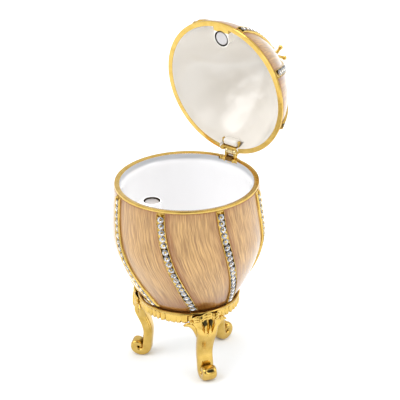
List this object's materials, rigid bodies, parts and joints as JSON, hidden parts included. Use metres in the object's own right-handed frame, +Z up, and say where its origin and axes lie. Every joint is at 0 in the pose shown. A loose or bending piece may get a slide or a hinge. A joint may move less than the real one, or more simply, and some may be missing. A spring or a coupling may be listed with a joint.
{
  "type": "trinket box",
  "caption": "Egg-shaped hinged trinket box in peach enamel and gold, with spiral bands of clear crystals, a magnetic catch and a gold stand on scrolled legs, shown open.",
  "frame": {"origin": "Middle of the open box's footprint, on the surface it stands on", "axes": "+Z up, +Y towards the hinge at the back, -Y the front with the catch, +X to the right seen from the front"},
  "size_m": [0.0442, 0.0676, 0.1016],
  "materials": {
    "gold": "polished gold plate on cast metal",
    "peach_enamel": "streaked translucent peach enamel outside, glossy white enamel inside, polished gold rims and ridges",
    "crystal": "clear faceted crystal, foil-backed in its setting",
    "magnet": "satin nickel-plated magnet"
  },
  "bodies": {
    "base": {"stand": "gold", "bowl": "peach_enamel", "bowl_hinge_leaf": "gold", "hinge_pin": "gold", "bowl_magnet": "magnet", "bowl_crystals_1": "crystal", "bowl_crystals_2": "crystal", "bowl_crystals_3": "crystal", "bowl_crystals_4": "crystal", "bowl_crystals_5": "crystal", "bowl_crystals_6": "crystal", "bowl_crystals_7": "crystal", "bowl_crystals_8": "crystal"},
    "lid": {"lid": "peach_enamel", "lid_hinge_leaf": "gold", "finial": "gold", "lid_magnet": "magnet", "lid_crystals_1": "crystal", "lid_crystals_2": "crystal", "lid_crystals_3": "crystal", "lid_crystals_4": "crystal", "lid_crystals_5": "crystal", "lid_crystals_6": "crystal", "lid_crystals_7": "crystal", "lid_crystals_8": "crystal"}
  },
  "joints": [
    {"name": "lid_hinge", "type": "hinge", "parent": "base", "child": "lid", "pos_m": [-0.00003, 0.00966, 0.0595], "axis": [1, 0, 0], "range_deg": [0, 84.7]}
  ]
}
